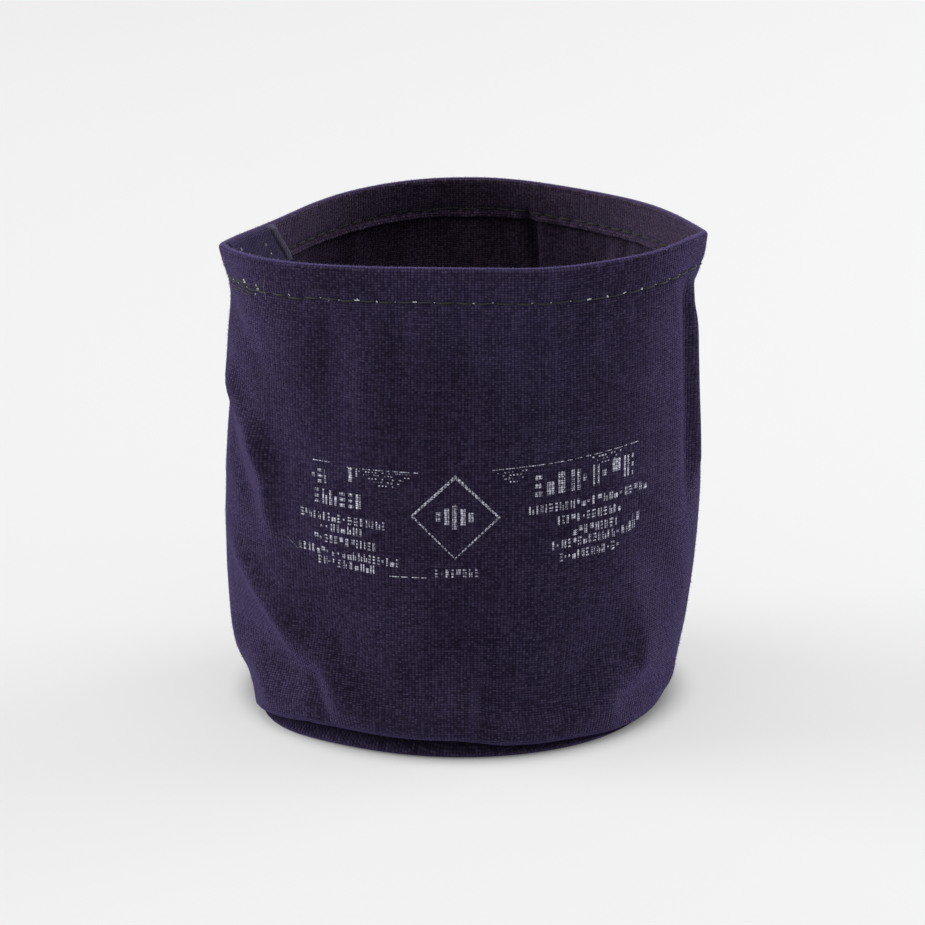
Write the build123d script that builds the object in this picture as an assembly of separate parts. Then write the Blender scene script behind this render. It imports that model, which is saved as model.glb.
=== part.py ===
from build123d import *
import math
import os

# Fabric storage bin: a limp canvas tube on a round canvas base, open at the top.
# Millimetres. Origin at the middle of the base's underside, +Z up, front towards -Y.

# Driving dimensions
HEIGHT = 140.0
CLOTH = 0.85               # thickness of one layer of canvas
BASE_RADIUS = 59.2         # outer radius of the tube where it meets the base
HEM_DEPTH = 12.0           # how far the hem is turned down inside
HEM_SEAM_DROP = 9.5        # from the rim down to the row of stitches
BASE_TURN_UP = 4.0         # height of the base cloth's rolled edge, below the tube's edge
BASE_ALLOWANCE = 9.0       # height of the base seam's allowances, standing inside
SIDE_ALLOWANCE = 10.0      # width of the side seam's allowances
SIDE_STITCH_INSET = 3.0    # from the left crease to the side seam's stitches
THREAD_DIAMETER = 0.55
STITCH_PITCH = 5.3
STITCH_LENGTH = 4.4        # the visible part of one stitch
THREAD_CLEARANCE = 0.16    # keeps a straight stitch off the curved face
BASE_STITCH_RISE = 1.5     # from the base seam up to its stitches
TACK_RISES = (-1.6, 1.3)   # the back tack's two rows, from the hem's row
TACK_START = 2.5           # from the left crease
TACK_STITCHES = 4
TACK_PITCH = 4.6
TACK_GAP = 0.9
TACK_SLANT = 0.7           # how much each of its stitches rises
FIT = 0.02                 # gap between layers that lie on each other

# Sections of the tube's outer face: height, half width at the creases, the creases' y,
# the front's y, the back's y, and how pointed the back is at the creases (1 is an ellipse).
# All go round the same length of cloth, about 374 mm.
SECTIONS = [
    (0.0, BASE_RADIUS, 0.0, -BASE_RADIUS, BASE_RADIUS, 1.00),
    (11.0, 61.7, -3.0, -58.2, 58.2, 1.00),
    (28.0, 64.6, -7.0, -56.5, 56.0, 1.02),
    (70.0, 67.0, -13.0, -54.0, 54.0, 1.08),
    (118.0, 66.8, -18.0, -52.5, 54.5, 1.14),
    (HEIGHT, 69.0, -20.0, -51.0, 52.5, 1.20),
]
BACK_POINTS = 13           # points on the back's curve from crease to crease

# Heights worked out from those
HEM_SEAM_Z = HEIGHT - HEM_SEAM_DROP
HEM_LOW = HEIGHT - HEM_DEPTH
HEM_CAP = 1.5 * CLOTH      # the rim's fold, above the end of the outer layer
WALL_TOP = HEIGHT - HEM_CAP
FOLD_STEPS = 3             # flats round a quarter of a fold


def values_at(z):
    """The section's values at height z, straight between the listed ones."""
    for low, high in zip(SECTIONS, SECTIONS[1:]):
        if z <= high[0]:
            t = (z - low[0]) / (high[0] - low[0])
            return [a + (b - a) * t for a, b in zip(low[1:], high[1:])]
    return list(SECTIONS[-1][1:])


def front_edge(z, inset):
    """The front, a shallow arc from the left crease to the right one."""
    half, crease, front, back, point = values_at(z)
    return ThreePointArc((-half + inset, crease), (0, front + inset), (half - inset, crease))


def back_edge(z, inset):
    """The back, from the right crease round to the left one."""
    half, crease, front, back, point = values_at(z)
    points = []
    for i in range(BACK_POINTS):
        turn = math.pi * i / (BACK_POINTS - 1)
        rise = max(math.sin(turn), 0.0) ** point if i < BACK_POINTS - 1 else 0.0
        points.append(((half - inset) * math.cos(turn), crease + (back - inset - crease) * rise))
    return Spline(*points)


def outline(z, inset):
    """The tube's closed outline at height z, moved in from its outer face."""
    return Wire([front_edge(z, inset), back_edge(z, inset)])


def core(levels):
    """What the tube encloses, through a list of heights and insets."""
    faces = [Plane.XY.offset(z) * make_face(outline(z, inset)) for z, inset in levels]
    return loft(faces, ruled=True)


def levels_at(low, high, inset):
    """Heights from low to high at one inset, with the listed sections between them."""
    between = [row[0] for row in SECTIONS if low < row[0] < high]
    return [(z, inset) for z in [low] + between + [high]]


def band(low, high, outer, inner):
    """A layer of cloth that follows the tube between two insets."""
    return core(levels_at(low, high, outer)) - core(levels_at(low, high, inner))


def wall_panel():
    """One strip of canvas round the bin, from the base seam to the rim's fold."""
    return band(BASE_TURN_UP, WALL_TOP, 0, CLOTH)


def top_hem():
    """The strip's top edge, folded over the rim, down inside and turned under."""
    radius = 1.5 * CLOTH
    outer = []
    inner = []
    for i in range(FOLD_STEPS + 1):
        turn = math.pi / 2 * i / FOLD_STEPS
        z = WALL_TOP + FIT + (radius - FIT) * math.sin(turn)
        outer.append((z, radius * (1 - math.cos(turn))))
        inner.append((z, 3 * CLOTH - radius * (1 - math.cos(turn)) + FIT))
    cap = core(outer) - core(inner)
    turned = band(HEM_LOW, WALL_TOP + FIT, CLOTH + FIT, 3 * CLOTH + FIT)
    return cap + turned


def base_panel():
    """The round base, its edge rolled up to meet the tube."""
    corner = 2 * CLOTH
    levels = []
    for i in range(FOLD_STEPS + 1):
        turn = math.pi / 2 * i / FOLD_STEPS
        levels.append((corner * (1 - math.cos(turn)), corner * (1 - math.sin(turn))))
    levels.append((BASE_TURN_UP - FIT, 0))
    hollow = core([(CLOTH, corner), (corner + CLOTH, CLOTH), (BASE_TURN_UP - FIT, CLOTH)])
    return core(levels) - hollow


def base_seam_allowance():
    """The two cloths' edges past the base seam, standing up inside the tube."""
    return band(BASE_TURN_UP, BASE_TURN_UP + BASE_ALLOWANCE, CLOTH + FIT, 3 * CLOTH)


def side_seam_allowance():
    """The strip's two ends past the side seam, laid flat on the wall behind the left crease."""
    low = BASE_TURN_UP + BASE_ALLOWANCE + FIT
    high = HEM_LOW - FIT
    layers = band(low, high, CLOTH + FIT, 3 * CLOTH)
    crease_low = values_at(low)[1]
    crease_high = values_at(high)[1]
    cut_low = Plane.XY.offset(low) * Pos(-HEIGHT / 2, crease_low + SIDE_ALLOWANCE / 2)
    cut_high = Plane.XY.offset(high) * Pos(-HEIGHT / 2, crease_high + SIDE_ALLOWANCE / 2)
    cutter = loft([
        cut_low * Rectangle(HEIGHT, SIDE_ALLOWANCE),
        cut_high * Rectangle(HEIGHT, SIDE_ALLOWANCE),
    ])
    return layers & cutter


def stitch(start, end):
    """One stitch: a round-ended length of thread from one needle hole to the next."""
    radius = THREAD_DIAMETER / 2
    along = end - start
    length = along.length
    bevel = radius / math.sqrt(2)
    first = ThreePointArc((0, 0), (bevel, radius - bevel), (radius, radius))
    side = Line((radius, radius), (radius, length - radius))
    last = ThreePointArc((radius, length - radius), (bevel, length - radius + bevel), (0, length))
    half = make_face([first, side, last, Line((0, length), (0, 0))])
    body = revolve(Plane.XZ * half, Axis.Z)
    return (Plane(origin=start, z_dir=along) * body).solid()


def thread_inset(face_inset, outside):
    """Where a thread's middle lies, clear of the face that it is sewn on."""
    clearance = THREAD_DIAMETER / 2 + THREAD_CLEARANCE
    return face_inset - clearance if outside else face_inset + clearance


def at(edge, distance, z):
    """The point at a distance along an edge from its start, lifted to height z."""
    return edge @ (distance / edge.length) + Vector(0, 0, z)


def stitches_along(edge, z):
    """Whole stitches from one end of an edge to the other."""
    count = round(edge.length / STITCH_PITCH)
    pitch = edge.length / count
    gap = pitch - STITCH_LENGTH
    row = []
    for i in range(count):
        start = i * pitch + gap / 2
        row.append(stitch(at(edge, start, z), at(edge, start + STITCH_LENGTH, z)))
    return row


def row_round(z, inset):
    """A row of stitches round the tube at one height, turning at both creases."""
    return stitches_along(front_edge(z, inset), z) + stitches_along(back_edge(z, inset), z)


def hem_needle_thread():
    """The hem seam's stitches on the outside."""
    return row_round(HEM_SEAM_Z, thread_inset(0, outside=True))


def hem_bobbin_thread():
    """The hem seam's stitches on the inside, on the turned hem."""
    return row_round(HEM_SEAM_Z, thread_inset(3 * CLOTH + FIT, outside=False))


def base_seam_thread():
    """The base seam's stitches on the inside, low on the standing allowances."""
    z = BASE_TURN_UP + BASE_STITCH_RISE
    return row_round(z, thread_inset(3 * CLOTH, outside=False))


def side_seam_thread():
    """The side seam's stitches, up the inside of the side allowances."""
    low = BASE_TURN_UP + BASE_ALLOWANCE + STITCH_PITCH
    count = int((HEM_LOW - STITCH_PITCH - low) / STITCH_PITCH)
    inset = thread_inset(3 * CLOTH, outside=False)
    row = []
    for i in range(count):
        z = low + i * STITCH_PITCH
        ends = []
        for height in (z, z + STITCH_LENGTH):
            edge = back_edge(height, inset)
            ends.append(at(edge, edge.length - SIDE_STITCH_INSET, height))
        row.append(stitch(*ends))
    return row


def hem_back_tack():
    """Where the hem seam starts and ends, two slanting rows beside the left crease."""
    inset = thread_inset(0, outside=True)
    row = []
    for rise in TACK_RISES:
        for i in range(TACK_STITCHES):
            begin = TACK_START + i * TACK_PITCH
            finish = begin + TACK_PITCH - TACK_GAP
            low = HEM_SEAM_Z + rise
            high = low + TACK_SLANT
            row.append(stitch(
                at(front_edge(low, inset), begin, low),
                at(front_edge(high, inset), finish, high),
            ))
    return row


def write(node, shape):
    """Write one node's solids, checked, as parts/NODE.step."""
    solids = shape if isinstance(shape, list) else shape.solids()
    assert all(solid.is_valid for solid in solids), node
    whole = solids[0] if len(solids) == 1 else Compound(label=node, children=solids)
    export_step(whole, "parts/" + node + ".step")
    box = whole.bounding_box()
    size = [round(value, 1) for value in (box.size.X, box.size.Y, box.size.Z)]
    volume = sum(solid.volume for solid in solids)
    print(node, len(solids), "solids", size, "mm", round(volume), "mm3")


NODES = {
    "wall_panel": wall_panel,
    "top_hem": top_hem,
    "side_seam_allowance": side_seam_allowance,
    "base_panel": base_panel,
    "base_seam_allowance": base_seam_allowance,
    "hem_needle_thread": hem_needle_thread,
    "hem_bobbin_thread": hem_bobbin_thread,
    "hem_back_tack": hem_back_tack,
    "side_seam_thread": side_seam_thread,
    "base_seam_thread": base_seam_thread,
}

os.makedirs("parts", exist_ok=True)
for node, make in NODES.items():
    write(node, make())
print("lengths round the listed sections:", [round(outline(row[0], 0).length) for row in SECTIONS])
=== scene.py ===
"""Looks of the fabric storage bin: navy duck canvas sewn into a tube on a round base."""
import math
from types import SimpleNamespace
import bpy
import numpy as np
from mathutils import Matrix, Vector


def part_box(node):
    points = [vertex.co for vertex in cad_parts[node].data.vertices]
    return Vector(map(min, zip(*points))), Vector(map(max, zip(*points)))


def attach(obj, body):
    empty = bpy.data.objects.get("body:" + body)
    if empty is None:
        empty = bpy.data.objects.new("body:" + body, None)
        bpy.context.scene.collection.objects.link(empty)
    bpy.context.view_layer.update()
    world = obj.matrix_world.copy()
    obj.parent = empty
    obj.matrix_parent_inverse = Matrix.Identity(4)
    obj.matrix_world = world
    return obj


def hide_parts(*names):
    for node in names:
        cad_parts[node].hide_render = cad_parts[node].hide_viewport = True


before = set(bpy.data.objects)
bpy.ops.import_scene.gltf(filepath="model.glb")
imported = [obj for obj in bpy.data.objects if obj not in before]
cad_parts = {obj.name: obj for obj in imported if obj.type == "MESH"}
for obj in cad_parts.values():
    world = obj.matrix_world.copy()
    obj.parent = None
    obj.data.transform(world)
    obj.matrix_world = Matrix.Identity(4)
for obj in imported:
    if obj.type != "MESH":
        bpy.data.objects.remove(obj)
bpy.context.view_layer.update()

# Lengths are in millimetres until a mesh is made.
MM = 0.001

# ---- the frame's sizes --------

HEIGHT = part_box("top_hem")[1][2] / MM
HEM_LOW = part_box("top_hem")[0][2] / MM
HEM_SEAM_Z = (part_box("hem_needle_thread")[0][2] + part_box("hem_needle_thread")[1][2]) / 2 / MM
BASE_SEAM_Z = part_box("base_panel")[1][2] / MM
ALLOWANCE_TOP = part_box("base_seam_allowance")[1][2] / MM
EAR_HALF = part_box("top_hem")[1][0] / MM

# ---- the cloth --------

CLOTH = 0.85                # thickness of one layer
LAYER = CLOTH + 0.05        # from one layer's middle to the next
ROUND = 378.0               # length of cloth round the bin
FRONT = 164.0               # of which the front, from crease to crease
STITCHES = 71               # stitches round the hem
PITCH = ROUND / STITCHES    # from one needle hole to the next
COLUMNS = 6 * STITCHES      # columns of the cloths' meshes
COLUMN_U = (np.arange(COLUMNS) + 0.5) * ROUND / COLUMNS
TURN_IN = 2.6               # how far in from the wall the base seam's allowances stand
RIM_FOLD_Z = HEIGHT - CLOTH / 2 - LAYER                 # the middle of the rim's fold
BACK_LEFT = FRONT + 0.84 * (ROUND - FRONT)              # the two places where the back slumps
BACK_RIGHT = FRONT + 0.32 * (ROUND - FRONT)

# The bin's section by height: the width between the creases, how much more the cloth bends in
# the middle of the back and at the front's shoulders than elsewhere, how far a crease's turn
# spreads along the cloth, and the creases' y.
SECTIONS = np.array([
    # z, width, back, front, spread, crease's y
    (0.0, 118.5, 0.0, 0.0, 14.0, -15.1),
    (11.0, 124.0, 0.0, 0.0, 13.0, -14.4),
    (23.0, 128.0, 0.0, 0.1, 11.0, -14.2),
    (41.0, 131.0, 0.1, 0.3, 9.0, -14.6),
    (75.0, 133.0, 0.6, 0.6, 6.0, -16.0),
    (112.0, 130.4, 1.6, 0.85, 3.0, -18.2),
    (124.0, 128.2, 2.1, 0.9, 2.2, -18.9),
    (132.0, 131.6, 2.5, 0.95, 1.7, -19.5),
    (HEIGHT, 2 * EAR_HALF - 1.0, 3.0, 1.0, 1.35, -20.0),
])
SHAPE_STEP = 2.0            # height between the sections worked out from these
HALF_STEPS = 561            # steps round half a section


def eased(z, values, blur=3.5):
    """The sections' values at heights z, joined by straight lines and then rounded off."""
    fine = np.arange(-20.0, HEIGHT + 20.0, 0.5)
    line = np.interp(fine, SECTIONS[:, 0], values)
    kernel = np.exp(-(np.arange(-24, 25) * 0.5 / blur) ** 2 / 2)
    padded = np.concatenate([np.full(24, line[0]), line, np.full(24, line[-1])])
    return np.interp(z, fine, np.convolve(padded, kernel / kernel.sum(), mode="valid"))


def bell(distance, width):
    """1 at no distance, falling off smoothly on both sides."""
    return np.exp(-(distance / width) ** 2)


def smoothstep(low, high, value):
    """0 at low and 1 at high, eased at both ends; low may be the larger of the two."""
    t = np.clip((value - low) / (high - low), 0, 1)
    return t * t * (3 - 2 * t)


def around(u, centre):
    """Distance along the cloth from a column to a place, the short way round."""
    return (u - centre + ROUND / 2) % ROUND - ROUND / 2


def near(u, centre, width):
    """A bell along the cloth round the bin."""
    return bell(around(u, centre), width)


def running(steps):
    """Nought and then the running sum."""
    return np.concatenate([[0], np.cumsum(steps)])


def half_section(turns, back, front, spread):
    """Half a section, from the front's middle to the back's: distance, position and heading.

    turns are the whole front's turn and one crease's, in radians; the back has the rest.
    """
    s = np.linspace(0.0, ROUND / 2, HALF_STEPS)
    ear = FRONT / 2
    step = s[1] - s[0]
    in_front = np.clip(ear - s + 0.5, 0, 1)
    shoulders = bell(s / ear - 0.72, 0.22)
    behind = (ROUND / 2 - s) / (ROUND / 2 - ear)
    bends = (
        (in_front * (1.0 + front * (1.6 * shoulders - 0.35)), turns[0] / 2),
        (np.exp(-((s - ear) / spread) ** 2 / 2), turns[1]),
        ((1 - in_front) * (1.0 + back * bell(behind, 0.5)), math.pi - turns[0] / 2 - turns[1]),
    )
    bend = sum(profile * turn / (profile.sum() * step) for profile, turn in bends)
    heading = running((bend[1:] + bend[:-1]) / 2 * step)
    middle = (heading[1:] + heading[:-1]) / 2
    return s, running(np.cos(middle) * step), running(np.sin(middle) * step), heading


def solve_section(width, *bending):
    """The half section that closes and has the wanted width at the crease."""
    turns = np.array([2.2, 0.4])
    nudge = 1e-3

    def misfit(values):
        s, x, _, _ = half_section(values, *bending)
        return np.array([np.interp(FRONT / 2, s, x) - width / 2, x[-1]])

    for _ in range(40):
        error = misfit(turns)
        if np.abs(error).max() < 1e-4:
            break
        slope = np.stack([(misfit(turns + moved) - error) / nudge for moved in np.eye(2) * nudge], 1)
        turns = turns - np.clip(np.linalg.solve(slope, error), -0.2, 0.2)
    return half_section(turns, *bending)


class Tube:
    """The wall's middle surface before any wrinkle: position and outward normal anywhere."""

    def __init__(self):
        self.z = np.arange(0.0, HEIGHT + SHAPE_STEP, SHAPE_STEP)
        self.u = np.linspace(0.0, ROUND, 2 * HALF_STEPS - 1)
        rows = []
        shapes = zip(*(eased(self.z, values) for values in SECTIONS.T[1:]))
        for width, back, front, spread, crease_y in shapes:
            s, x, y, heading = solve_section(width, back, front, spread)
            y = y - np.interp(FRONT / 2, s, y) + crease_y
            # u starts at the left crease, so the front's middle is at FRONT / 2
            right = np.stack([x, y, np.sin(heading), -np.cos(heading)], 1)
            left = (right * (-1, 1, -1, 1))[::-1]
            loop = np.concatenate([left, right[1:]])
            along = np.concatenate([FRONT / 2 - s[::-1], FRONT / 2 + s[1:]])
            wanted = np.where(self.u > along[-1], self.u - ROUND, self.u)
            rows.append(np.stack([np.interp(wanted, along, loop[:, i]) for i in range(4)], 1))
        self.rows = np.array(rows)

    def at(self, u, z):
        """x, y and the normal's x, y for arrays of u and z of one shape."""
        row = np.clip(z / SHAPE_STEP, 0, len(self.z) - 1.001)
        column = (u % ROUND) / (self.u[1] - self.u[0])
        r = row.astype(int)
        c = np.clip(column.astype(int), 0, len(self.u) - 2)
        past_row = (row - r)[..., None]
        past_column = (column - c)[..., None]
        low, high = (self.rows[i, c] * (1 - past_column) + self.rows[i, c + 1] * past_column
                     for i in (r, r + 1))
        both = low * (1 - past_row) + high * past_row
        normal = both[..., 2:] / np.linalg.norm(both[..., 2:], axis=-1, keepdims=True)
        return both[..., :2], normal


tube = Tube()


# ---- small helpers --------

def arc(centre, radius, start, end, count):
    """Points (n, z) on an arc, angles in degrees from +n towards +z."""
    turns = np.radians(np.linspace(start, end, count))
    return [(centre[0] + radius * math.cos(t), centre[1] + radius * math.sin(t)) for t in turns]


def straight(n, heights):
    """Points (n, z) on an upright line."""
    return [(n, z) for z in heights]


def distances(path):
    """How far along a path each of its points is."""
    return running(np.linalg.norm(np.diff(path, axis=0), axis=1))


def path_normals(path):
    """Unit normals of a path, to its right, which is outwards on the wall."""
    step = np.gradient(path, axis=0)
    step /= np.linalg.norm(step, axis=1, keepdims=True)
    return np.stack([step[:, 1], -step[:, 0]], 1)


class Field:
    """A grid of values round the bin, read anywhere with smooth interpolation."""

    def __init__(self, grid, low, step):
        self.grid = grid
        self.low = low
        self.step = step

    def at(self, u, z):
        """The value at arrays of u and z of one shape, by cubic interpolation."""
        rows, columns = self.grid.shape[:2]
        c = (u % ROUND) / ROUND * columns
        r = np.clip((z - self.low) / self.step, 0, rows - 1.001)
        left = np.floor(c).astype(int)
        below = np.floor(r).astype(int)

        def weights(t):
            return [((-t + 2) * t - 1) * t / 2, ((3 * t - 5) * t * t + 2) / 2,
                    ((-3 * t + 4) * t + 1) * t / 2, (t - 1) * t * t / 2]

        total = 0.0
        for i, up in enumerate(weights(r - below)):
            row = np.clip(below + i - 1, 0, rows - 1)
            for j, across in enumerate(weights(c - left)):
                value = self.grid[row, (left + j - 1) % columns]
                weight = up * across
                total = total + (weight[..., None] if value.ndim > weight.ndim else weight) * value
        return total


def soft_noise(u, z, seed, across, up):
    """A smooth random field round the bin, of about unit size, seeded."""
    u, z = np.broadcast_arrays(u, z)
    rng = np.random.default_rng(seed)
    columns = max(3, int(round(ROUND / across)))
    rows = int((HEIGHT + 60) / up) + 4
    return Field(rng.normal(size=(rows, columns)), -30.0, up).at(u, z)


def add_object(name, data):
    """A new object in the scene."""
    made = bpy.data.objects.new(name, data)
    bpy.context.scene.collection.objects.link(made)
    return made


def make_mesh(name, points, faces, uv=None, smooth=True):
    """A mesh object from points in millimetres, with a UV map in metres if given."""
    mesh = bpy.data.meshes.new(name)
    mesh.from_pydata((np.asarray(points) * MM).tolist(), [], faces)
    mesh.polygons.foreach_set("use_smooth", [smooth] * len(mesh.polygons))
    if uv is not None:
        layer = mesh.uv_layers.new(name="cloth")
        layer.data.foreach_set("uv", (np.asarray(uv) * MM).astype(np.float32).ravel())
    mesh.validate()
    mesh.update()
    return add_object(name, mesh)


def joined(name, parts):
    """One mesh object from several parts, each given as its points, faces and uv."""
    points, faces, uv = [], [], []
    count = 0
    for part_points, part_faces, part_uv in parts:
        points.append(part_points)
        faces += [tuple(i + count for i in face) for face in part_faces]
        uv += part_uv
        count += len(part_points)
    return make_mesh(name, np.concatenate(points), faces, uv)


def ring_faces(rings, columns, closed=False):
    """Quads of a grid that wraps round its columns, and round its rings too if closed."""
    faces = []
    for r in range(rings if closed else rings - 1):
        a = r * columns
        b = (r + 1) % rings * columns
        for c in range(columns):
            d = (c + 1) % columns
            faces.append((a + c, a + d, b + d, b + c))
    return faces


def ring_uv(v):
    """UVs for closed rings of COLUMNS: u along the cloth round the bin, v along it up the wall."""
    step = ROUND / COLUMNS
    return [corner for low, high in zip(v, v[1:] + v[-1:]) for u in COLUMN_U
            for corner in ((u, low), (u + step, low), (u + step, high), (u, high))]


# ---- where the cloth is --------

def seam_line(u):
    """The height of the hem's row of stitches, guided by hand."""
    return HEM_SEAM_Z + 0.35 * soft_noise(u, 0.0, 11, 30.0, 40.0)


def seam_groove(u, z):
    """How deep the row of stitches has pulled the cloth in, deepest at the needle holes."""
    drop = z - seam_line(u)
    to_hole = (u + PITCH / 2) % PITCH - PITCH / 2
    row = bell(drop, 0.8)
    return row * (0.26 + 0.34 * bell(to_hole, 0.8)) + 0.12 * bell(drop, 3.0)


# How far the base seam sits above or below its usual height, round the bin.
SAG_U = [-16.0, 0.0, 9.0, 20.0, 34.0, 60.0, 80.0, 94.0, 112.0, 128.0, 145.0, 165.0, 200.0, 250.0,
         300.0, 340.0, ROUND - 16.0]
SAG = [-2.4, -3.1, -2.8, -1.0, 1.3, 1.4, 1.0, -0.6, -1.2, -2.4, -3.0, -2.6, -0.8, 0.6, -0.8, -1.4,
       -2.4]

# The rim is highest at the right crease, and rises or dips at (u, spread, rise).
RIM_LEAN = 1.3
RIM_RISES = [(FRONT - 12, 12, 0.8), (0.65 * FRONT, 20, -1.2), (BACK_LEFT, 42, -1.5),
             (BACK_RIGHT, 28, -1.3)]

# Dents and bulges where the creases are drawn in or pinched: (z, reach, u, spread, outwards).
DENTS = [(9, 8, -4, 18, -2.2), (16, 9, FRONT + 2, 18, -1.5), (132, 5, FRONT, 7, 0.9),
         (122.5, 4, FRONT, 7, -1.3)]


def posture(u, z):
    """How the bin leans out of true: shift outwards, lift upwards and tuck towards the axis."""
    high = smoothstep(30, HEIGHT, z)
    lift = RIM_LEAN * np.cos((u - FRONT) / ROUND * 2 * math.pi)
    for centre, spread, rise in RIM_RISES:
        lift = lift + rise * near(u, centre, spread)
    sag = np.interp((u + 16) % ROUND - 16, SAG_U, SAG) + 0.25 * soft_noise(u, 0.0, 12, 12, 40)
    lift = high * lift + smoothstep(38, 10, z) * smoothstep(CLOTH, BASE_SEAM_Z, z) * sag
    # the back's left leans in, and the front's foot slumps out, most at its left
    shift = -2.2 * high * near(u, BACK_LEFT, 24)
    slump = 4.2 * near(u, 21, 20) + 2.2 * np.exp(-(around(u, 0.5 * FRONT) / 62) ** 4)
    shift = shift + smoothstep(32, 0, z) * slump
    # the right crease draws in towards the floor, and the seam pulls a slot over the base
    shift = shift - 1.9 * smoothstep(62, 30, z) * near(u, FRONT + 4, 20)
    shift = shift - 1.8 * bell(z - BASE_SEAM_Z + 0.1, 1.4)
    for height, reach, centre, spread, outwards in DENTS:
        shift = shift + outwards * bell(z - height, reach) * near(u, centre, spread)
    tuck = 1 - 0.015 * smoothstep(BASE_SEAM_Z + 9, BASE_SEAM_Z - 1, z)
    return shift, lift, tuck


FOLD_DEPTH = 1.5            # mm for each unit of a fold's height

# Folds pressed or slumped into the wall: their ends as (u, z), half width and height.
FOLDS = [
    ((9, 99), (22, 84), 4.0, 1.6),
    ((22, 84), (25, 68), 3.8, 1.5),
    ((4, 88), (14, 72), 4.0, -1.1),
    ((13, 49), (27, 33), 4.2, 1.6),
    ((5, 124), (20, 112), 3.6, -0.8),
    ((30, 118), (60, 96), 9.0, 0.6),
    ((95, 66), (126, 44), 11.0, 0.7),
    ((FRONT - 7, 124), (FRONT - 4, 76), 2.4, 1.0),
    ((FRONT - 11, 122), (FRONT - 9, 70), 2.6, -0.8),
    ((FRONT - 22, 64), (FRONT - 6, 40), 6.0, 0.3),
    ((FRONT + 106, 128), (FRONT + 99, 84), 6.0, -2.2),
    ((FRONT + 86, 128), (FRONT + 83, 90), 1.9, 2.2),
    ((FRONT + 40, 100), (FRONT + 66, 60), 9.0, 1.0),
    ((FRONT + 150, 96), (FRONT + 120, 58), 9.0, 1.1),
    ((FRONT + 176, 60), (FRONT + 190, 26), 8.0, -1.0),
    ((40, 16), (44, 4), 3.0, -0.9),
    ((88, 18), (86, 4), 2.6, -1.1),
    ((FRONT + 30, 18), (FRONT + 34, 4), 4.0, -1.0),
    ((FRONT + 110, 20), (FRONT + 106, 4), 4.0, -1.2),
]


def folds(u, z):
    """How far the folds and the cloth's slight unevenness push the wall outwards."""
    out = 0.22 * soft_noise(u, z, 5, 26.0, 22.0) + 0.10 * soft_noise(u, z, 6, 9.0, 8.0)
    for (u0, z0), (u1, z1), half_width, height in FOLDS:
        length = math.dist((u0, z0), (u1, z1))
        du = (u1 - u0) / length
        dz = (z1 - z0) / length
        a = around(u, u0)
        b = z - z0
        along = a * du + b * dz
        aside = a * dz - b * du
        past = np.maximum(np.maximum(-along, along - length), 0) / (2.2 * half_width)
        out = out + FOLD_DEPTH * height * np.exp(-(aside / half_width) ** 2 - past ** 2)
    return out * smoothstep(2, 10, z) * (1 - 0.8 * smoothstep(HEM_LOW - 6, HEM_LOW + 4, z))


settled_grid = None


def place(u, n, z):
    """Where a point of the cloth is, n outwards from the tube's surface at height z."""
    u, n, z = np.broadcast_arrays(u, n, z)
    flat, normal = tube.at(u, z)
    shift, lift, tuck = posture(u, z)
    out = (n + shift + folds(u, z))[..., None]
    flat = flat * tuck[..., None] + normal * out
    spots = np.concatenate([flat, (z + lift)[..., None]], -1)
    # with the cloth simulation's movement, once it has run
    return spots if settled_grid is None else spots + settled_grid.at(u, z)


# ---- the two cloths --------

def wall_path():
    """The middle of the strip in section: (n, z), n outwards from the tube's surface."""
    path = straight(-TURN_IN - LAYER / 2, np.arange(ALLOWANCE_TOP, BASE_SEAM_Z + 1.6, -1.2))
    path += arc((-TURN_IN + 0.9, BASE_SEAM_Z + 1.4), 0.9 + LAYER / 2, 180, 270, 5)
    path += [(-1.0, BASE_SEAM_Z + 0.12), (-0.45, BASE_SEAM_Z + 0.5), (-0.12, BASE_SEAM_Z + 1.2)]
    path += straight(0.0, np.arange(BASE_SEAM_Z + 2.2, HEM_SEAM_Z - 3.0, 2.3))
    path += straight(0.0, np.arange(HEM_SEAM_Z - 2.6, HEM_SEAM_Z + 2.7, 0.5))
    path += straight(0.0, np.linspace(HEM_SEAM_Z + 3.6, RIM_FOLD_Z - 0.6, 5))
    path += arc((-LAYER, RIM_FOLD_Z), LAYER, 0, 180, 9)
    path += straight(-2 * LAYER, np.linspace(RIM_FOLD_Z - 1.0, HEM_SEAM_Z + 2.0, 6))
    path += straight(-2 * LAYER, np.arange(HEM_SEAM_Z + 1.2, HEM_LOW + 0.9, -0.5))
    path += arc((-1.5 * LAYER, HEM_LOW + 0.5 * LAYER + 0.2), 0.5 * LAYER, 180, 360, 6)
    path += straight(-LAYER, np.linspace(HEM_LOW + 2.5, RIM_FOLD_Z - 1.5, 5))
    return np.array(path)


def build_wall():
    """The wall and hem: one strip of cloth with its thickness, closed all round."""
    path = wall_path()
    normals = path_normals(path)
    along = distances(path)
    sewn = len(path) - 8        # the turned-under end isn't sewn into a groove
    crest = int(np.argmax(path[:, 1]))
    # the hem gapes open inside, most at the back's left
    gape = 0.35 + 1.3 * near(COLUMN_U, ROUND - 62, 34) + 0.5 * near(COLUMN_U, FRONT + 50, 22)
    gape += 0.2 * soft_noise(COLUMN_U, 0.0, 61, 16, 40)
    rings = []
    v = []
    for side in (1, -1):
        for i in range(len(path))[::side]:
            n, z = path[i] + side * normals[i] * CLOTH / 2
            if side == 1 and i < sewn:
                n = n - normals[i, 0] * seam_groove(COLUMN_U, path[i, 1])
            if i > crest:
                n = n - gape * smoothstep(HEM_SEAM_Z - 0.8, HEM_LOW, path[i, 1])
            rings.append(place(COLUMN_U, n, z))
            v.append(along[i])
    faces = ring_faces(len(rings), COLUMNS, closed=True)
    piece = make_mesh("wall_canvas", np.concatenate(rings), faces, ring_uv(v))
    inside = (np.arange(len(faces)) >= crest * COLUMNS).astype(np.int32)
    piece.data.polygons.foreach_set("material_index", inside)
    return piece


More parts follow.
